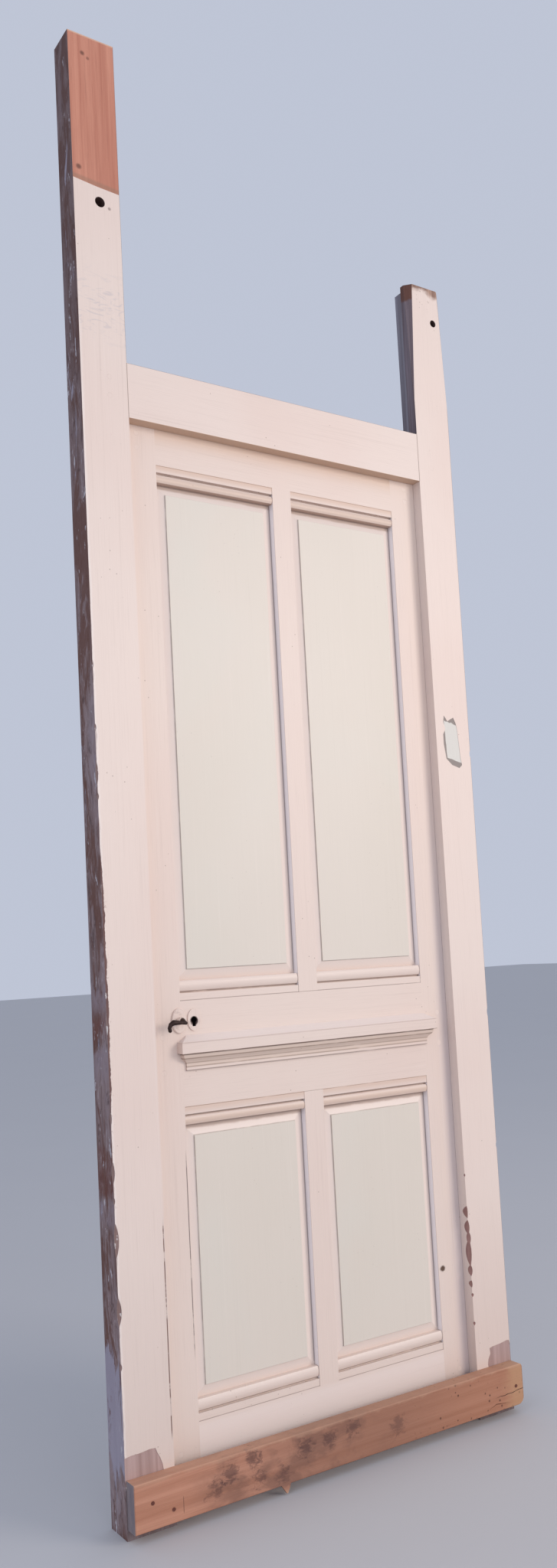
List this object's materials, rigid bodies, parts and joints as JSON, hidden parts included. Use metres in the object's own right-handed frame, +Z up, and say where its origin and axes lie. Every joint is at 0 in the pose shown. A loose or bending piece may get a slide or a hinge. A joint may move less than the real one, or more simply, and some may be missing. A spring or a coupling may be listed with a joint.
{
  "type": "panelled interior door with frame",
  "caption": "Painted panelled door leaf with raised fields, strips planted over and under them and a broad rail moulding, hung in its rebated post-and-head frame with horns and a foot batten.",
  "frame": {"origin": "on the floor, midway between the posts, in the plane of the frame's front face", "axes": "+X to the right seen from the front, +Y away from the viewer through the door, +Z up; the leaf opens away, to +Y"},
  "size_m": [0.892, 0.1418, 2.712],
  "materials": {
    "painted_frame": "aged cream oil paint over timber",
    "painted_leaf": "aged cream oil paint over timber",
    "painted_moulding": "aged cream oil paint over timber",
    "raw_batten": "weathered raw softwood",
    "peg_wood": "painted over",
    "painted_plate": "painted over with the leaf",
    "forged_iron": "dark worn iron",
    "lock_iron": "dull painted sheet",
    "hinge_iron": "dull, worn at the knuckles",
    "screw_steel": "dull steel",
    "spring_steel": "blued"
  },
  "bodies": {
    "frame": {"left_post": "painted_frame", "right_post": "painted_frame", "head_rail": "painted_frame", "frame_pegs": "peg_wood", "tie_batten": "raw_batten", "batten_nails": "screw_steel", "keeper": "lock_iron", "keeper_screws": "screw_steel", "hinge_rings": "hinge_iron", "hinge_screws_frame": "screw_steel", "bottom_hinge_frame_half": "hinge_iron", "middle_hinge_frame_half": "hinge_iron", "top_hinge_frame_half": "hinge_iron"},
    "leaf": {"lock_stile": "painted_leaf", "hinge_stile": "painted_leaf", "top_rail": "painted_leaf", "lock_rail": "painted_leaf", "bottom_rail": "painted_leaf", "upper_muntin": "painted_leaf", "lower_muntin": "painted_leaf", "leaf_pegs": "peg_wood", "rail_moulding": "painted_moulding", "moulding_brads": "screw_steel", "rose": "painted_plate", "keyhole_plate": "painted_plate", "lock_case": "lock_iron", "lock_screws": "screw_steel", "latch_spring": "spring_steel", "hinge_screws_leaf": "screw_steel", "upper_left_panel": "painted_leaf", "upper_right_panel": "painted_leaf", "lower_left_panel": "painted_leaf", "lower_right_panel": "painted_leaf", "upper_left_cornice": "painted_moulding", "upper_left_sill": "painted_moulding", "upper_right_cornice": "painted_moulding", "upper_right_sill": "painted_moulding", "lower_left_cornice": "painted_moulding", "lower_left_sill": "painted_moulding", "lower_right_cornice": "painted_moulding", "lower_right_sill": "painted_moulding", "bottom_hinge_leaf_half": "hinge_iron", "middle_hinge_leaf_half": "hinge_iron", "top_hinge_leaf_half": "hinge_iron"},
    "handle": {"front_lever": "forged_iron", "rear_lever": "forged_iron", "spindle": "forged_iron", "follower": "lock_iron"},
    "latch": {"latch_bolt": "screw_steel"},
    "bolt": {"dead_bolt": "screw_steel"}
  },
  "joints": [
    {"name": "leaf_hinge", "type": "hinge", "parent": "frame", "child": "leaf", "pos_m": [0.364, 0.069, 0.989], "axis": [0, 0, -1], "range_deg": [0, 110]},
    {"name": "handle_turn", "type": "hinge", "parent": "leaf", "child": "handle", "pos_m": [-0.29, 0.0615, 0.856], "axis": [0, -1, 0], "range_deg": [0, 35], "stiffness_Nm_per_rad": 1.5, "springref_deg": -17.19},
    {"name": "latch_slide", "type": "slide", "parent": "leaf", "child": "latch", "axis": [1, 0, 0], "range_m": [0, 0.012], "deforming": ["latch_spring"]},
    {"name": "dead_bolt_slide", "type": "slide", "parent": "leaf", "child": "bolt", "axis": [-1, 0, 0], "range_m": [0, 0.014]}
  ],
  "couplings": [
    {"joint": "latch_slide", "follows": "handle_turn", "m_per_rad": 0.019643}
  ]
}
